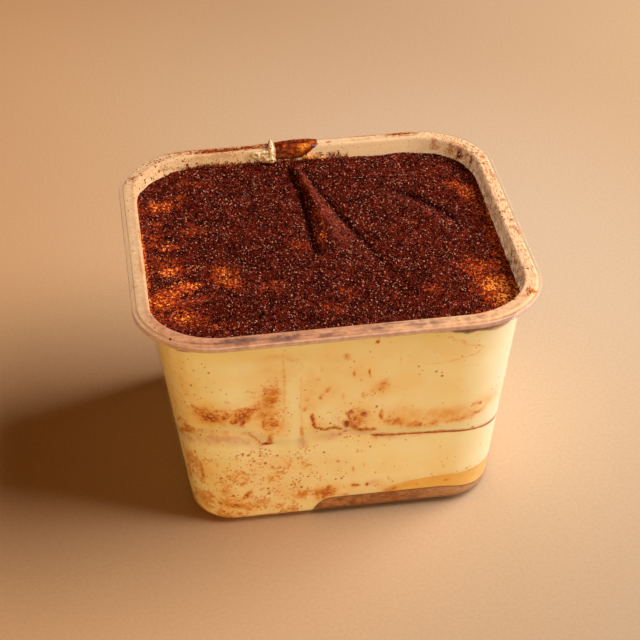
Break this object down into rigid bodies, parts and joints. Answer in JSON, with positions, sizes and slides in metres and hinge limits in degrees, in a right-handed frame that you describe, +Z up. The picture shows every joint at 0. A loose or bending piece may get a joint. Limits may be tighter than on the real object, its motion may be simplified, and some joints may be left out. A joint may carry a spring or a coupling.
{
  "type": "tiramisu",
  "caption": "Square tub of tiramisu: cocoa-dusted top with a soft fold over layered mascarpone cream and coffee-soaked biscuit, in a clear thin-walled dish with a flat rim.",
  "frame": {"origin": "centre of the tub's base, on the surface that it stands on", "axes": "+X along the rim's longer side, to the right; +Y to the back, where the tongue of cocoa cream hangs over the rim; +Z up"},
  "size_m": [0.11, 0.104, 0.0716],
  "materials": {
    "clear_tub": "clear, smooth, thin-walled plastic with a dusty rim",
    "soaked_biscuit": "wet sponge, soaked in coffee",
    "stained_cream": "wet cream, stained by coffee",
    "mascarpone_cream": "smooth, soft, slightly translucent cream",
    "coffee_seam": "wet, blurred line of coffee and cocoa",
    "cocoa_powder": "dry granular powder, damp in patches",
    "wet_cocoa_cream": "wet, glossy film of cocoa and cream",
    "clean_cream": "smooth cream with fine air bubbles"
  },
  "bodies": {
    "root": {"tub": "clear_tub", "soaked_biscuit": "soaked_biscuit", "stained_cream": "stained_cream", "lower_cream": "mascarpone_cream", "coffee_seam": "coffee_seam", "upper_cream": "mascarpone_cream", "cocoa_top": "cocoa_powder", "rim_tongue": "wet_cocoa_cream", "rim_bead": "clean_cream"}
  },
  "joints": []
}
